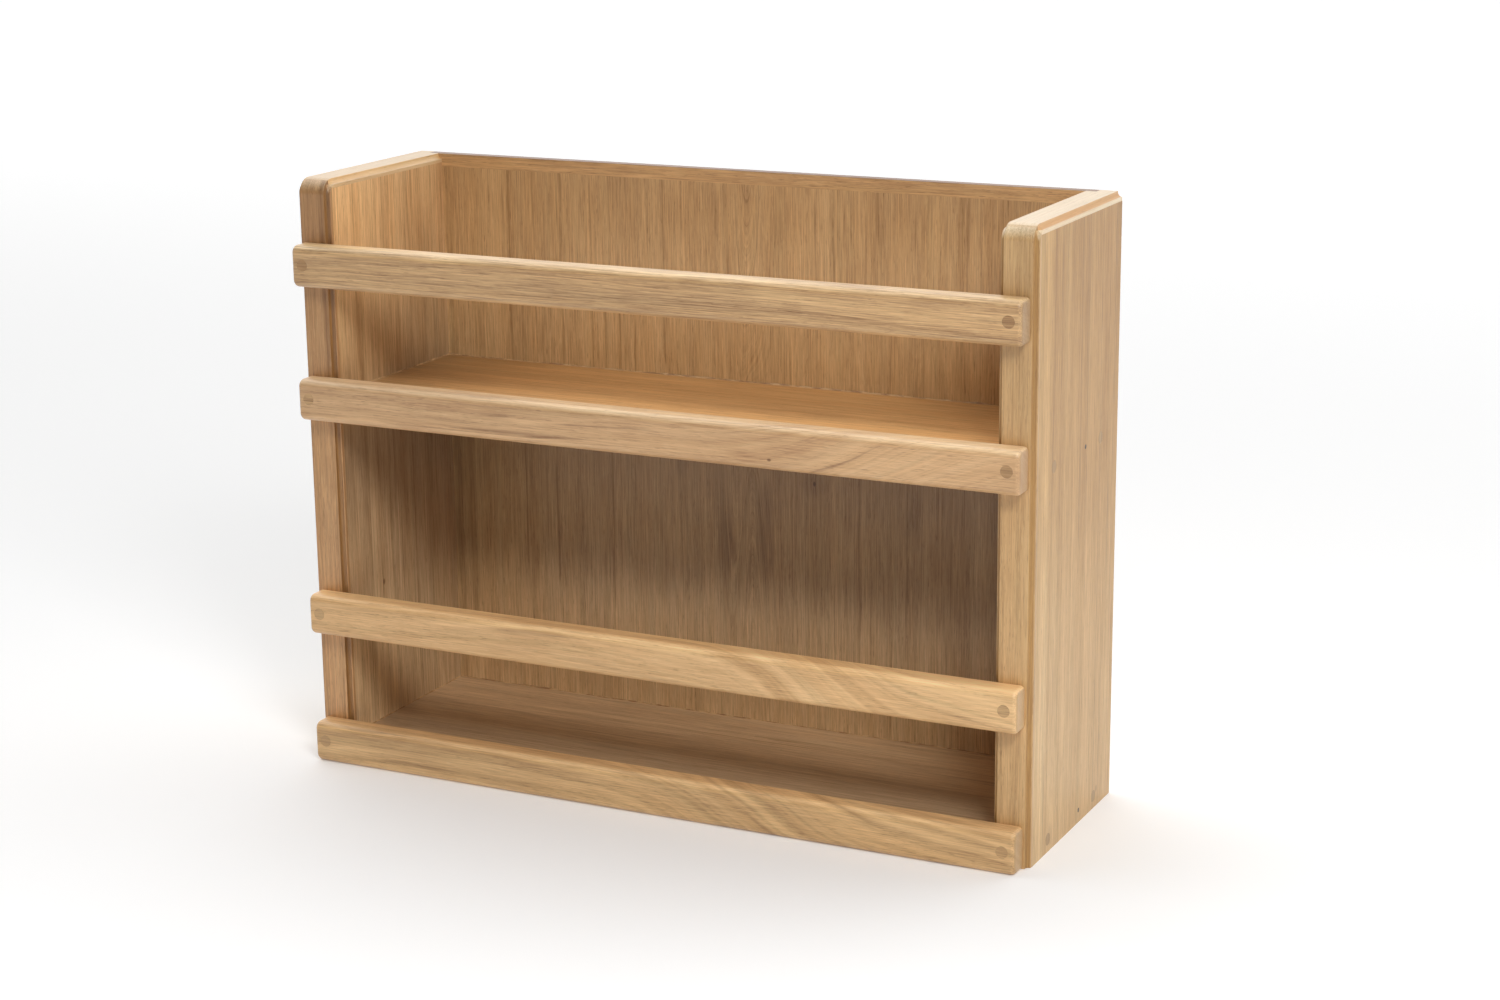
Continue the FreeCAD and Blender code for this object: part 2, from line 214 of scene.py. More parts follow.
# The stepped cove along the sides' edges, in millimetres.
COVE_WIDE, COVE_DEEP = 2.8, 3.6
COVE_LIP = (0.35, 0.8)  # the tint comes in over this depth below the side's face


class Board(Graph):
    """The wood of one board, in the board's own directions. All lengths are in millimetres."""

    def __init__(self, name, grain, face, seed):
        super().__init__(bpy.data.materials.new(name))
        self.xyz = self.place_mm()
        self.along, self.deep = self.xyz[grain], self.xyz[face]
        self.across = self.xyz[X + Y + Z - grain - face]
        self.shift = seed * SEED_STEP
        self.facing = self.axes(self.node("ShaderNodeNewGeometry").outputs["Normal"])
        outward = -1 if face == Y else 1
        self.exposed = self.span(self.times(self.facing[face], outward), 0.2, 0.8)
        self.end = self.span(self.math("ABSOLUTE", self.facing[grain]), 0.72, 0.96)

    def away(self, at_across, half_width, at_along, half_length):
        """The distance from a place on the board, across and along it, in half sizes."""
        aside = self.times(self.less(self.across, at_across), 1 / half_width)
        ahead = self.times(self.less(self.along, at_along), 1 / half_length)
        return aside, ahead

    def layered(self, spacing, length, detail=2.0, rough=0.5, plane=0.0):
        """Noise that follows the growth layers, drawn out along the board."""
        return self.noise(
            self.add(self.times(self.layer, 1 / spacing), self.shift),
            self.times(self.along, 1 / length), plane, detail, rough,
        )

    def strands(self, thick, length, detail=1.0, rough=0.5, offset=0):
        """Noise in straight strands along the board."""
        return self.noise(
            self.add(self.times(self.across, 1 / thick), self.shift + offset),
            self.times(self.deep, 1 / thick), self.times(self.along, 1 / length), detail, rough,
        )

    def tint(self, mask, colour, blend="MULTIPLY"):
        """Blends a colour into the wood where the mask is above zero."""
        self.wood = self.mix(mask, self.wood, (*colour, 1.0), blend)

    def grow(self, turn, drift, bows, shears, figures, knots):
        """Growth layers: a coordinate that runs through the layers, bent as real ones are."""
        along, across, deep = self.along, self.across, self.deep
        wander = self.noise(
            self.add(self.times(along, 1 / 160), self.shift),
            self.times(across, 1 / 45), self.times(deep, 1 / 45),
        )
        self.ripple = self.less(
            self.noise(
                self.times(along, 1 / 38),
                self.add(self.times(across, 1 / 9), self.shift), self.times(deep, 1 / 9),
            ),
            0.5,
        )
        layer = self.add(
            self.times(across, cos(radians(turn))),
            self.times(deep, sin(radians(turn))),
            self.times(self.less(wander, 0.5), drift * 2),
            self.times(self.ripple, drift * 0.16),
        )
        for start, bend in bows:
            away = self.less(along, start)
            layer = self.add(layer, self.times(away, away, bend))
        for start, stop, drop in shears:
            layer = self.add(layer, self.span(along, start, stop, 0.0, drop))
        for at_across, at_along, width, lean in figures:
            blunt = 3.0  # half the width of the arch's rounded tip
            aside = self.less(across, at_across)
            reach = self.bell(self.times(aside, aside, 1 / width**2))
            rise = self.times(self.less(along, at_along), lean)
            tip = self.math("SQRT", self.add(self.times(aside, aside), blunt**2))
            layer = self.add(layer, self.times(self.less(self.add(tip, rise), aside), reach))
        for at_across, at_along, radius in knots:
            aside, ahead = self.away(at_across, radius, at_along, radius / 0.22)
            near = self.bell(self.times(self.squares(aside, ahead), 0.5))
            layer = self.add(layer, self.times(near, aside, radius * 1.4))
        self.layer = layer

    def colour(self, light, dark, broad, ring, contrast, fibres):
        """Broad tone bands, growth lines, fibres and soft clouds, between the two colours."""
        bands = self.layered(broad, length=700)
        self.rings = self.layered(ring, length=300, detail=2.5, rough=0.6)
        self.fibre = self.strands(thick=0.8, length=32, detail=2.5, rough=0.65)
        cloud = self.noise(
            self.times(self.across, 1 / 22), self.times(self.deep, 1 / 22),
            self.add(self.times(self.along, 1 / 80), self.shift),
        )
        shares = (
            (bands, BAND_SHARE * contrast),
            (self.rings, RING_SHARE * contrast),
            (self.fibre, FIBRE_SHARE * fibres),
            (cloud, CLOUD_SHARE * contrast),
        )
        self.tone = self.add(0.5, *[self.times(self.less(part, 0.5), share) for part, share in shares])
        self.wood = self.mix(self.span(self.tone, 0.0, 1.0, smooth=False), light, dark)

    def zones(self, width, length, plane):
        """Noise in broad zones that follow the growth layers."""
        return self.noise(
            self.times(self.layer, 1 / width), self.times(self.along, 1 / length), plane, rough=0.6
        )

    def vary(self, warm):
        """Warmer and greyer zones."""
        warmer = self.zones(width=11, length=300, plane=self.shift)
        greyer = self.zones(width=7, length=240, plane=self.shift + 9)
        self.tint(self.span(warmer, 0.35, 0.65, 0.0, 0.5 * warm), WARM)
        self.tint(self.span(greyer, 0.5, 0.72, 0.0, 0.35), GREY)

    def draw_pores(self, line, streaks, fibres, flecks):
        """Thin dark lines, short dark pores, longer ticks and pale flecks."""
        thread = self.layered(line, length=160, detail=1.0, plane=4.0)
        self.breaks = self.noise(
            self.times(self.along, 1 / 60), self.times(self.layer, 1 / 6), self.shift + 2
        )
        threads = self.times(self.span(thread, 0.58, 0.74), self.span(self.breaks, 0.40, 0.62), streaks)
        self.tint(threads, LINE)
        pore = self.strands(thick=0.42, length=7)
        self.pores = self.times(self.span(pore, 0.60, 0.70), self.span(self.rings, 0.40, 0.62, 0.3, 1.0))
        self.tint(self.times(self.pores, 0.5 * fibres), PORE)
        self.ticks = self.span(self.strands(thick=0.9, length=9, detail=0.5, offset=5), 0.70, 0.80)
        self.tint(self.times(self.ticks, 0.3), TICK)
        fleck = self.strands(thick=0.7, length=8, offset=8)
        self.tint(self.span(fleck, 0.58, 0.74, 0.0, flecks), FLECK, "SCREEN")

    def draw_marks(self, marks):
        """Single dark streaks, a little wavy and broken."""
        taper = 14
        broken = self.span(self.breaks, 0.30, 0.55, 0.45, 1.0)
        for at_across, low, high, width, strength in marks:
            wavy = self.add(self.across, self.times(self.ripple, 3.0))
            aside = self.times(self.math("ABSOLUTE", self.less(wavy, at_across)), 2 / width)
            ends = self.times(
                self.span(self.along, low, low + taper), self.span(self.along, high - taper, high, 1.0, 0.0)
            )
            self.tint(self.times(self.span(aside, 0.2, 1.3, strength, 0.0), ends, broken), MARK)

    def draw_stains(self, stains):
        """Smoky patches with ragged edges, darker in the growth lines."""
        lined = self.span(self.rings, 0.30, 0.60, 0.55, 1.0)
        for at_across, at_along, half_width, half_length, strength in stains:
            aside, ahead = self.away(at_across, half_width, at_along, half_length)
            far = self.add(self.squares(aside, ahead), self.times(self.ripple, 1.6))
            self.tint(self.times(self.span(far, 0.05, 1.3, 1.0, 0.0), strength, lined), SMOKE)

    def draw_knots(self, knots):
        """Small dark knots, longer along the board."""
        for at_across, at_along, radius in knots:
            aside, ahead = self.away(at_across, radius, at_along, radius / 0.6)
            self.tint(self.span(self.squares(aside, ahead), 0.1, 1.6, 0.85, 0.0), KNOT)

    def fade(self, stops, position):
        """Paints light and shade on the exposed face, with some drift of the wood's tone: slow changes of
        colour through (place, tint) stops along position.
        """
        tint = (*stops[0][1], 1.0)
        for (start, _), (stop, next_tint) in zip(stops, stops[1:]):
            tint = self.mix(self.span(position, start, stop), tint, (*next_tint, 1.0))
        self.wood = self.mix(self.exposed, self.wood, tint, "MULTIPLY")

    def in_cove(self):
        """One inside the stepped cove along a side's front and top edges."""
        x, y, z = self.xyz
        outer = self.less(HIGH.x / MM, self.math("ABSOLUTE", x))
        in_face = self.math("MINIMUM", outer, self.less(SIDE_THICK / MM, outer))
        back_from_edge = self.math(
            "MINIMUM", self.less(y, SIDE_FRONT / MM), self.less(HIGH.z / MM, z)
        )
        return self.times(
            self.span(in_face, COVE_WIDE - 0.1, COVE_WIDE + 0.4, 1.0, 0.0),
            self.span(back_from_edge, COVE_DEEP - 0.2, COVE_DEEP + 0.1, 1.0, 0.0),
            self.span(in_face, *COVE_LIP),
        )

    def draw_end_grain(self, light, dark, end_tint):
        """Pores seen as dots and growth lines seen end on, a little darker than the face."""
        dots = self.noise(
            self.times(self.across, 1 / 0.5),
            self.add(self.times(self.deep, 1 / 0.5), self.shift), detail=1.0,
        )
        layers = self.noise(
            self.add(self.times(self.across, 0.35), self.times(self.deep, 0.8)), self.shift
        )
        darkness = self.add(self.span(dots, 0.50, 0.70, 0.0, 0.6), self.span(layers, 0.4, 0.6, 0.0, 0.5))
        end_wood = self.mix(darkness, dimmed(light, end_tint), dark)
        self.wood = self.mix(self.times(self.end, 0.75), self.wood, end_wood)

    def oil(self, gloss):
        """A thin oil finish over the wood, with the fibres and pores felt through it."""
        raised = self.add(self.times(self.fibre, 0.5), self.times(self.rings, 0.3))
        sunk = self.add(self.times(self.pores, 0.8), self.ticks)
        self.shade({
            "Base Color": self.wood,
            "Roughness": self.span(self.tone, 0.0, 1.0, gloss - 0.06, gloss + 0.08),
            "IOR": OIL_IOR,
            "Coat Weight": OIL_COAT,
            "Coat Roughness": OIL_ROUGH,
            "Normal": self.bump(self.less(raised, sunk), distance=0.05 * MM, strength=0.7),
        })


def teak(
    name, grain, face, light, dark, seed,
    turn=12.0, ring=2.2, broad=14.0, drift=3.0, contrast=1.0, fibres=1.0, line=2.1, streaks=0.3,
    flecks=0.10, warm=0.3, bows=(), shears=(), figures=(), stains=(), knots=(), marks=(), fade=(),
    painted_shade_and_tone_across=(), painted_top_shading=None, cove=None, end_tint=0.92, gloss=0.46,
):
    """Oiled teak with its fibres along one axis. All lengths are in millimetres.

    grain       the axis that the fibres run along
    face        the axis that the piece's widest faces look along
    light, dark colours of the palest and darkest wood, as 0-255 display values
    seed        sets one board's figure apart from another's
    turn        angle of the growth layers in the end grain, in degrees
    ring        spacing of the growth lines
    broad       width of the tone bands
    drift       how far the growth lines wander
    contrast    strength of the growth lines and tone bands
    fibres      strength of the fibres and pores
    line        spacing of the thin dark lines, which follow the growth layers
    streaks     strength of those lines
    flecks      strength of the pale flecks
    warm        strength of the warmer zones
    bows        (start, bend) bends the lines into an arch of bend * distance squared
    shears      (from, to, drop) moves the lines down by drop between two places along the board
    figures     (across, along, width, lean) of flat-sawn arches, points towards +along
    stains      (across, along, half width, half length, strength) of smoky dark patches
    knots       (across, along, radius) of pin knots
    marks       (across, from, to, width, strength) of single dark streaks
    fade        (along, tint) stops of painted light and shade, with some drift of the wood's tone, along the board's exposed face
    painted_shade_and_tone_across  the same across the board
    bleach      tint of the wood where it faces up, painted light where it is above one and painted shade where below one
    cove        tint of the stepped cove along the sides' edges: the lipping's own deeper tone with painted shade in the hollow, and painted light where above one
    end_tint    brightness of the end grain beside the face's
    gloss       middle of the roughness
    """
    light, dark = linear(*light), linear(*dark)
    board = Board(name, grain, face, seed)
    board.grow(turn, drift, bows, shears, figures, knots)
    board.colour(light, dark, broad, ring, contrast, fibres)
    board.vary(warm)
    board.draw_pores(line, streaks, fibres, flecks)
    board.draw_marks(marks)
    board.draw_stains(stains)
    board.draw_knots(knots)
    # Painted light and shade, with some drift of the wood's tone, along and across the exposed face.
    if fade:
        board.fade(fade, board.along)
    if painted_shade_and_tone_across:
        board.fade(painted_shade_and_tone_across, board.across)
    if painted_top_shading:
        # Painted light on up-facing faces, and painted shade where the tint is below one.
        board.tint(board.span(board.facing[Z], 0.1, 0.85), painted_top_shading)
    # Painted shade in the cove's hollow, with the lipping's own deeper tone; a tint above one is painted
    # light.
    if cove:
        board.tint(board.in_cove(), cove)
    board.draw_end_grain(light, dark, end_tint)
    board.oil(gloss)
    return board.owner


def metal(name, colour, rough, seed):
    """Turned metal with fine scratches and a little dulling."""
    g = Graph(bpy.data.materials.new(name))
    x, y, z = g.place_mm()
    dull = g.noise(
        g.times(x, 0.9), g.times(y, 0.9), g.add(g.times(z, 0.9), seed), detail=4.0, rough=0.6
    )
    scratch = g.noise(g.times(x, 6.0), g.times(y, 6.0), g.times(z, 0.7), detail=3.0, rough=0.6)
    clean = linear(*colour)
    g.shade({
        "Base Color": g.mix(g.span(dull, 0.45, 0.70), clean, dimmed(clean, 0.45)),
        "Metallic": 1.0,
        "Roughness": g.span(dull, 0.3, 0.7, rough, rough + 0.2),
        "Normal": g.bump(scratch, distance=0.02 * MM, strength=0.6),
    })
    return g.owner


def set_glue():
    """Set glue and finish, a little paler than the wood beside it."""
    g = Graph(bpy.data.materials.new("set_glue"))
    x, y, z = g.place_mm()
    patch = g.noise(g.times(x, 0.12), g.times(y, 0.12), g.times(z, 0.5), detail=3.0, rough=0.6)
    g.shade({
        "Base Color": g.mix(g.span(patch, 0.35, 0.65), linear(214, 176, 128), linear(160, 120, 82)),
        "Roughness": 0.45,
    })
    return g.owner


# ---------------------------------------------------------------- the pieces' materials

# The slow tint stops along and across the boards are painted light and shade, with some drift of the wood's
# tone; the darkest stops just below the shelves are painted shadow of the shelves.
MATERIALS = {
    "right_side_board": teak(
        "right_side_veneer", Z, X, (225, 187, 134), (172, 133, 86), 1, ring=2.0, broad=9, drift=1.5,
        line=4.0, streaks=0.35, warm=0.15, contrast=0.9,
        fade=((30, (1.10, 1.12, 1.02)), (130, (1.04, 1.02, 0.88)), (250, (0.90, 0.81, 0.56)),
              (380, (0.82, 0.71, 0.42))),
        painted_shade_and_tone_across=((-60, (0.98, 0.98, 0.96)), (-50, (1.09, 1.10, 1.12)), (-40, (0.99, 0.97, 0.94)),
                    (40, (0.94, 0.89, 0.80))),
        marks=((-37, 150, 420, 2.0, 0.34), (-23, 60, 420, 1.4, 0.30), (-8, 120, 420, 1.2, 0.2),
               (12, 180, 420, 2.6, 0.32), (25, 150, 420, 1.8, 0.32), (49, -20, 420, 2.4, 0.26),
               (66, 100, 420, 1.4, 0.2), (74, -20, 420, 1.8, 0.28)),
        stains=((-31, 10, 5, 8, 0.25), (56, 12, 1.6, 2.5, 0.6)),
    ),
    "left_side_board": teak(
        "left_side_veneer", Z, X, (227, 194, 147), (164, 130, 90), 2, ring=1.8, broad=10, drift=2.0,
        streaks=0.45, warm=0.4, contrast=1.1, knots=((-20.5, 114, 1.3),),
        fade=((60, (1.18, 1.24, 1.32)), (130, (1.00, 1.02, 1.10)), (215, (0.66, 0.66, 0.72)),
              (285, (1.02, 1.01, 1.0)), (375, (1.42, 1.33, 1.20))),
        painted_shade_and_tone_across=((-60, (1.02, 1.00, 0.98)), (50, (0.86, 0.86, 0.88))),
        marks=((-21, 95, 138, 1.6, 0.6), (52, 20, 250, 2.5, 0.3), (22, 20, 240, 1.6, 0.3),
               (-8, 20, 240, 1.4, 0.3)),
    ),
    "right_front_lipping": teak(
        "right_front_lipping", Z, Y, (224, 184, 131), (178, 138, 91), 3, turn=6, ring=1.6, broad=7,
        drift=1.5, cove=(0.72, 0.62, 0.40), streaks=0.3, line=3.0, painted_top_shading=(1.4, 1.75, 2.5),
        fade=((60, (1.06, 1.07, 1.04)), (200, (1.01, 1.01, 0.98)), (330, (0.85, 0.85, 0.82))),
    ),
    "left_front_lipping": teak(
        "left_front_lipping", Z, Y, (221, 173, 120), (166, 124, 82), 4, turn=8, ring=1.8, broad=8,
        drift=1.5, cove=(0.55, 0.48, 0.32), streaks=0.35, line=3.0, painted_top_shading=(1.5, 1.85, 2.4),
        marks=((-240.3, -20, 120, 1.8, 0.5), (-241.0, 180, 430, 4.5, 0.75), (-239.5, 100, 230, 1.4, 0.4)),
        fade=((60, (1.10, 1.08, 1.04)), (220, (1.02, 1.0, 0.96)), (290, (0.88, 0.85, 0.80)),
              (370, (0.72, 0.67, 0.60))),
    ),
    # The top lippings' pale, creamy colours are partly the wood's tone and partly painted light, where the
    # tops are lit strongly from above.
    "right_top_lipping": teak(
        "right_top_lipping", Y, Z, (246, 226, 192), (216, 184, 144), 5, cove=(0.84, 0.56, 0.25),
        streaks=0.2, gloss=0.42, contrast=0.7, fibres=0.6,
    ),
    "left_top_lipping": teak(
        "left_top_lipping", Y, Z, (238, 208, 162), (206, 168, 122), 6, cove=(1.12, 1.02, 0.84),
        streaks=0.2, gloss=0.42, contrast=0.7, fibres=0.6,
    ),
    "back_panel": teak(
        "back_veneer", Z, Y, (222, 186, 138), (162, 127, 88), 7, turn=4, ring=1.8, broad=13, drift=2.5,
        contrast=0.8, streaks=0.4, line=1.8, warm=0.35,
        fade=((60, (1.22, 1.25, 1.26)), (130, (0.90, 0.92, 0.90)), (210, (0.62, 0.59, 0.53)),
              (236, (0.60, 0.58, 0.52)), (260, (1.12, 1.14, 1.10)), (300, (1.12, 1.12, 1.06)),
              (340, (1.06, 1.03, 0.93)), (385, (1.0, 0.94, 0.83))),
        painted_shade_and_tone_across=((60, (1.0, 1.0, 1.0)), (130, (0.94, 0.94, 0.94))),
        figures=((0, 160, 16, 0.26), (3, 268, 9, 0.30)),
        stains=((13, 152, 9, 38, 0.55), (-18, 152, 8, 36, 0.50), (50, 190, 9, 10, 0.45),
                (-50, 196, 6, 12, 0.3)),
        knots=((50, 191, 1.0),),
        marks=(
            (-183, 230, 420, 1.8, 0.55), (-163, 240, 420, 1.6, 0.45), (-142, 200, 420, 2.2, 0.45),
            (-118, 240, 400, 1.5, 0.45), (-108, 240, 330, 2.0, 0.55), (-97, 250, 345, 1.7, 0.65),
            (-85, 235, 300, 1.5, 0.55), (-62, 255, 420, 1.5, 0.4), (-175, 100, 205, 1.6, 0.6),
            (-150, 90, 195, 2.0, 0.7), (-105, 80, 215, 1.8, 0.7), (83, 80, 230, 2.2, 0.45),
            (118, 90, 240, 1.7, 0.45), (150, 70, 240, 2.0, 0.5), (190, 60, 300, 2.4, 0.4),
            # The two wide streaks beside the left corner are a dark stripe in the veneer with painted shade
            # of the corner.
            (-220, 60, 240, 7.0, 0.45), (-231, -20, 420, 7.0, 0.35),
        ),
    ),
    "back_top_lipping": teak(
        "back_lipping", X, Y, (226, 182, 126), (178, 136, 90), 8, streaks=0.4, line=2.6, fibres=1.3,
        painted_top_shading=(0.38, 0.28, 0.17),
    ),
    "upper_shelf": teak(
        "upper_shelf_veneer", X, Z, (244, 194, 130), (190, 142, 88), 9, turn=4, ring=2.6, broad=18,
        streaks=0.3, warm=0.5, contrast=0.9,
        fade=((-235, (0.70, 0.71, 0.72)), (-120, (1.06, 1.05, 1.04)), (235, (1.0, 1.0, 1.0))),
        painted_shade_and_tone_across=((-40, (1.22, 1.23, 1.24)), (40, (0.92, 0.89, 0.85))),
    ),
    "lower_shelf": teak(
        "lower_shelf_veneer", X, Z, (220, 188, 144), (163, 133, 97), 10, turn=4, ring=2.4, broad=16,
        streaks=0.45, warm=0.3, contrast=1.1,
        marks=((44, -190, 60, 1.6, 0.5), (36, -60, 210, 1.4, 0.4), (-50, -240, 240, 3.0, 0.4)),
        painted_shade_and_tone_across=((-50, (0.80, 0.80, 0.86)), (-15, (0.90, 0.93, 1.05)), (40, (1.12, 1.14, 1.22))),
    ),
    "top_rail": teak(
        "top_rail", X, Y, (224, 184, 132), (152, 114, 76), 11, turn=20, ring=1.6, broad=8, drift=4,
        line=2.0, streaks=0.6, contrast=1.3, bows=((-80, 0.00006),), warm=0.3, fibres=1.1,
        painted_top_shading=(1.55, 1.74, 1.98), end_tint=0.58,
    ),
    "upper_shelf_rail": teak(
        "upper_shelf_rail", X, Y, (226, 185, 136), (178, 135, 94), 12, turn=35, ring=2.2, broad=9, drift=5,
        line=4.0, streaks=0.9, warm=0.3, bows=((-230, -0.00009),), shears=((60, 290, -48),),
        knots=((247, 92, 0.9),), fibres=0.9, contrast=1.2, painted_top_shading=(1.43, 1.66, 1.95), end_tint=0.68,
    ),
    "middle_rail": teak(
        "middle_rail", X, Y, (248, 206, 148), (200, 154, 102), 13, turn=40, ring=3.2, broad=10, drift=5,
        line=5.0, streaks=0.4, warm=0.3, bows=((-60, 0.0002),), shears=((40, 190, 46),), fibres=0.9,
        contrast=1.5, painted_top_shading=(1.32, 1.4, 1.5), end_tint=0.5,
    ),
    "bottom_rail": teak(
        "bottom_rail", X, Y, (244, 202, 142), (184, 142, 94), 14, turn=40, ring=3.4, broad=10, drift=6,
        contrast=1.6, line=5.0, streaks=0.5, warm=0.3, bows=((-110, 0.0002),), shears=((-40, 180, 52),),
        fibres=0.9, painted_top_shading=(1.2, 1.22, 1.3), end_tint=0.52,
    ),
    "rail_plugs": teak(
        "rail_plugs", X, Y, (222, 182, 128), (176, 136, 91), 15, ring=1.2, streaks=0.9,
        stains=((345, 248, 12, 12, 0.9), (255, 248, 12, 12, 0.8), (345, -248, 12, 12, 0.5),
                (255, -248, 12, 12, 0.3), (15, 248, 12, 12, 0.2), (15, -248, 12, 12, 0.2)),
    ),
    "shelf_plugs": teak(
        "shelf_plugs", Z, X, (193, 155, 99), (149, 112, 67), 16, ring=2.0, streaks=0.3, warm=0.1,
    ),
}
BRASS, STEEL = (214, 182, 122), (120, 112, 104)
METALS = {
    "rail_screws": metal("rail_screw_brass", BRASS, rough=0.30, seed=1),
    "shelf_screws": metal("shelf_screw_brass", BRASS, rough=0.30, seed=2),
    "back_screws": metal("back_screw_brass", BRASS, rough=0.28, seed=3),
    "shelf_pins": metal("shelf_pin_steel", STEEL, rough=0.40, seed=4),
}
GLUE = set_glue()


# ---------------------------------------------------------------- finished wooden pieces

WOODEN = list(MATERIALS)
PLUGS = ["rail_plugs", "shelf_plugs"]
ARRIS, PLUG_ARRIS = 0.45 * MM, 0.2 * MM
ARRIS_STEPS = 3
SAME_POINT = 0.002 * MM
TOUCHING = 0.15 * MM
FLAT, SHARP, CREASED = radians(0.4), radians(30), radians(38)


def outline_of(node):
    """The CAD piece as a mesh of whole flat faces."""
    shape = bmesh.new()
    shape.from_mesh(nodes[node].data)
    bmesh.ops.remove_doubles(shape, verts=shape.verts, dist=SAME_POINT)
    bmesh.ops.dissolve_limit(
        shape, angle_limit=FLAT, verts=shape.verts, edges=shape.edges, use_dissolve_boundaries=False
    )
    return shape


def surface_of(node):
    """The CAD piece's surface, for finding what is near it."""
    shape = bmesh.new()
    shape.from_mesh(nodes[node].data)
    tree = BVHTree.FromBMesh(shape)
    shape.free()
    return tree


surfaces = {node: surface_of(node) for node in WOODEN if node not in PLUGS}


def is_arris(edge, neighbours):
    """True for a sharp edge that no other board meets."""
    if len(edge.link_faces) != 2 or edge.calc_face_angle(0) < SHARP:
        return False
    start, end = [corner.co for corner in edge.verts]
    touching = 0
    for part in (0.2, 0.5, 0.8):
        near = [tree.find_nearest(start.lerp(end, part), TOUCHING)[0] for tree in neighbours]
        touching += any(found is not None for found in near)
    return touching < 2


def finish_piece(node, width):
    """The piece with its arrises eased by hand, as sanding leaves them."""
    shape = outline_of(node)
    neighbours = [] if node in PLUGS else [tree for other, tree in surfaces.items() if other != node]
    arrises = [edge for edge in shape.edges if is_arris(edge, neighbours)]
    bmesh.ops.bevel(
        shape, geom=arrises, offset=width, offset_type="OFFSET", segments=ARRIS_STEPS, profile=0.5,
        affect="EDGES", clamp_overlap=True,
    )
    for face in shape.faces:
        face.smooth = True
    for edge in shape.edges:
        edge.smooth = edge.calc_face_angle(0) < CREASED
    mesh = bpy.data.meshes.new(f"{node}_finished")
    shape.to_mesh(mesh)
    shape.free()
    piece = bpy.data.objects.new(f"{node}_finished", mesh)
    bpy.context.scene.collection.objects.link(piece)
    mesh.materials.append(MATERIALS[node])
    normals = piece.modifiers.new("even_shading", "WEIGHTED_NORMAL")
    normals.keep_sharp = True
    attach(piece, "root")
    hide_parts(node)


for node in WOODEN:
    finish_piece(node, PLUG_ARRIS if node in PLUGS else ARRIS)
for node, material in METALS.items():
    nodes[node].material_slots[0].material = material


# ---------------------------------------------------------------- glue in the shelf corners

UP, FORWARD = (0, 0, 1), (0, -1, 0)
BEAD_SPACING = 1.2 * MM
BEAD_SIZE, BEAD_SWELL, BEAD_LEAST = 0.62, 0.55, 0.22  # in millimetres
SLOW_SWELL, QUICK_SWELL = 0.11, 0.45  # per section of the bead
BEAD_STEPS = 4


def bead_section(first, second, size):
    """The corner and a hollow quarter round from one board to the other."""
    points = [Vector()]
    for k in range(BEAD_STEPS + 1):
        turn = pi / 2 * k / BEAD_STEPS
        points.append((first * (1 - sin(turn)) + second * (1 - cos(turn))) * size)
    return points


def glue_bead(name, start, end, first, second, seed):
    """A thin uneven line of set glue in the corner between two boards."""
    start, end, first, second = [Vector(part) for part in (start, end, first, second)]
    steps = round((end - start).length / BEAD_SPACING)
    corners, faces = [], []
    for i in range(steps + 1):
        centre = start.lerp(end, i / steps)
        slow = noise.noise(Vector((i * SLOW_SWELL, seed, 0)))
        quick = noise.noise(Vector((i * QUICK_SWELL, seed, 5)))
        size = max(BEAD_LEAST, BEAD_SIZE + BEAD_SWELL * (slow + 0.6 * quick)) * MM
        corners += [centre + offset for offset in bead_section(first, second, size)]
    ring = BEAD_STEPS + 2
    for i in range(steps):
        for k in range(ring):
            a, b = i * ring + k, i * ring + (k + 1) % ring
            faces.append((a, b, b + ring, a + ring))
    faces += [tuple(reversed(range(ring))), tuple(steps * ring + k for k in range(ring))]
    mesh = bpy.data.meshes.new(name)
    mesh.from_pydata(corners, [], faces)
    shape = bmesh.new()
    shape.from_mesh(mesh)
    bmesh.ops.recalc_face_normals(shape, faces=shape.faces)
    shape.to_mesh(mesh)
    shape.free()
    for polygon in mesh.polygons:
        polygon.use_smooth = len(polygon.vertices) == 4
    mesh.materials.append(GLUE)
    bead = bpy.data.objects.new(name, mesh)
    bpy.context.scene.collection.objects.link(bead)
    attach(bead, "root")


for number, shelf in enumerate(("lower_shelf", "upper_shelf")):
    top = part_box(shelf)[1].z
    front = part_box(shelf)[0].y
    glue_bead(
        f"{shelf}_back_bead", (-INNER, BACK_FACE, top), (INNER, BACK_FACE, top), UP, FORWARD,
        number + 0.5,
    )
    for side, word in ((-1, "left"), (1, "right")):
        glue_bead(
            f"{shelf}_{word}_bead", (side * INNER, front, top), (side * INNER, BACK_FACE, top),
            UP, (-side, 0, 0), number + 2.5 + side,
        )


# ---------------------------------------------------------------- floor, light and camera

# The floor's glow grows between these distances behind the rack's middle.
GLOW_FROM, GLOW_TO = 0.2, 3.0
NEAR_GLOW, FAR_GLOW = 0.12, 0.30


def studio_floor(half_width):
    """A pale, faintly glowing floor, brighter behind the rack."""
    corners = [(x * half_width, y * half_width, 0) for x, y in ((-1, -1), (1, -1), (1, 1), (-1, 1))]
    mesh = bpy.data.meshes.new("studio_floor")
    mesh.from_pydata(corners, [], [(0, 1, 2, 3)])
    floor = bpy.data.objects.new("studio_floor", mesh)
    bpy.context.scene.collection.objects.link(floor)
    g = Graph(bpy.data.materials.new("studio_floor"))
    g.shade({
        "Base Color": (0.92, 0.92, 0.92, 1),
        "Roughness": 0.9,
        "Emission Color": (1, 1, 1, 1),
        "Emission Strength": g.span(g.place()[Y], GLOW_FROM, GLOW_TO, NEAR_GLOW, FAR_GLOW),
    })
    mesh.materials.append(g.owner)


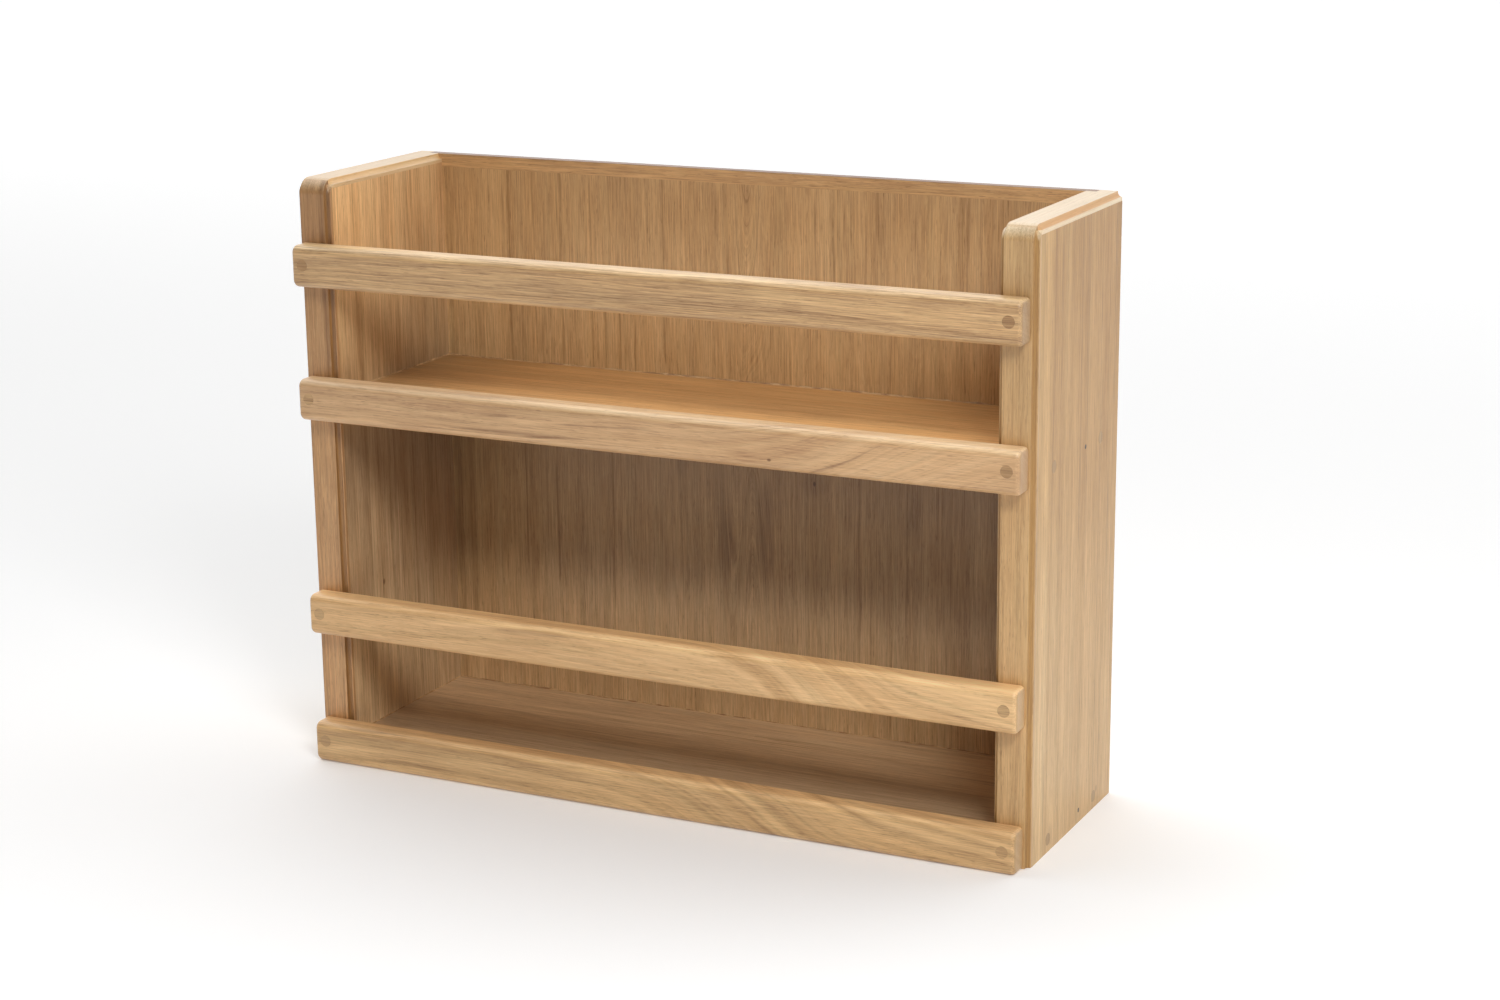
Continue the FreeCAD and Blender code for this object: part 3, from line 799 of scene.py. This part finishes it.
def surround(glows):
    """Soft broad lights all round, each (azimuth, elevation, tightness, strength).

    Azimuth runs from the front, over the right, to the back. Angles are in degrees.
    """
    world = bpy.data.worlds.new("studio")
    bpy.context.scene.world = world
    g = Graph(world)
    view = g.node("ShaderNodeTexCoord").outputs["Generated"]
    lobes = []
    for azimuth, elevation, tightness, strength in glows:
        across, up = radians(azimuth), radians(elevation)
        facing = g.node("ShaderNodeVectorMath", operation="DOT_PRODUCT")
        g.feed(facing.inputs[0], view)
        g.feed(facing.inputs[1], (sin(across) * cos(up), -cos(across) * cos(up), sin(up)))
        lit = g.math("MAXIMUM", facing.outputs["Value"], 0.0)
        lobes.append(g.times(g.math("POWER", lit, tightness), strength))
    background = g.tree.nodes["Background"]
    g.feed(background.inputs["Color"], (1, 1, 1, 1))
    g.feed(background.inputs["Strength"], g.add(*lobes))


def softbox(name, at, size, power):
    """A square lamp aimed at the middle of the rack."""
    lamp = bpy.data.lights.new(name, "AREA")
    lamp.shape = "SQUARE"
    lamp.size = size
    lamp.energy = power
    box = bpy.data.objects.new(name, lamp)
    bpy.context.scene.collection.objects.link(box)
    box.location = at
    box.rotation_mode = "QUATERNION"
    box.rotation_quaternion = (MIDDLE - Vector(at)).to_track_quat("-Z", "Y")
    box.visible_camera = False


def studio_camera(at, azimuth, elevation, roll, lens):
    """A camera at the photograph's viewing angle. Angles are in degrees, the lens in millimetres."""
    camera = bpy.data.cameras.new("camera")
    camera.lens = lens
    camera.sensor_width = 36
    holder = bpy.data.objects.new("camera", camera)
    bpy.context.scene.collection.objects.link(holder)
    turn = (
        Matrix.Rotation(radians(azimuth), 4, "Z")
        @ Matrix.Rotation(radians(90 - elevation), 4, "X")
        @ Matrix.Rotation(radians(-roll), 4, "Z")
    )
    holder.matrix_world = Matrix.Translation(Vector(at)) @ turn
    bpy.context.scene.camera = holder


studio_floor(half_width=15.0)
surround([
    (90, 11.5, 8, 0.12),
    (135, 11.5, 8, 1.2),
    (180, 11.5, 8, 0.73),
    (225, 11.5, 8, 1.25),
    (270, 11.5, 8, 0.3),
    (30, 50, 12, 0.3),
    (150, 50, 12, 1.27),
    (210, 50, 12, 1.6),
    (270, 50, 12, 2.1),
])
softbox("key", at=(1.0, -1.0, 1.2), size=0.5, power=10.4)
softbox("fill", at=(0.8, -1.2, 1.5), size=0.5, power=4.9)
studio_camera(at=(0.8332, -1.6164, 0.6639), azimuth=26.19, elevation=14.55, roll=0.60, lens=68.455)
bpy.context.scene.view_settings.view_transform = "Standard"
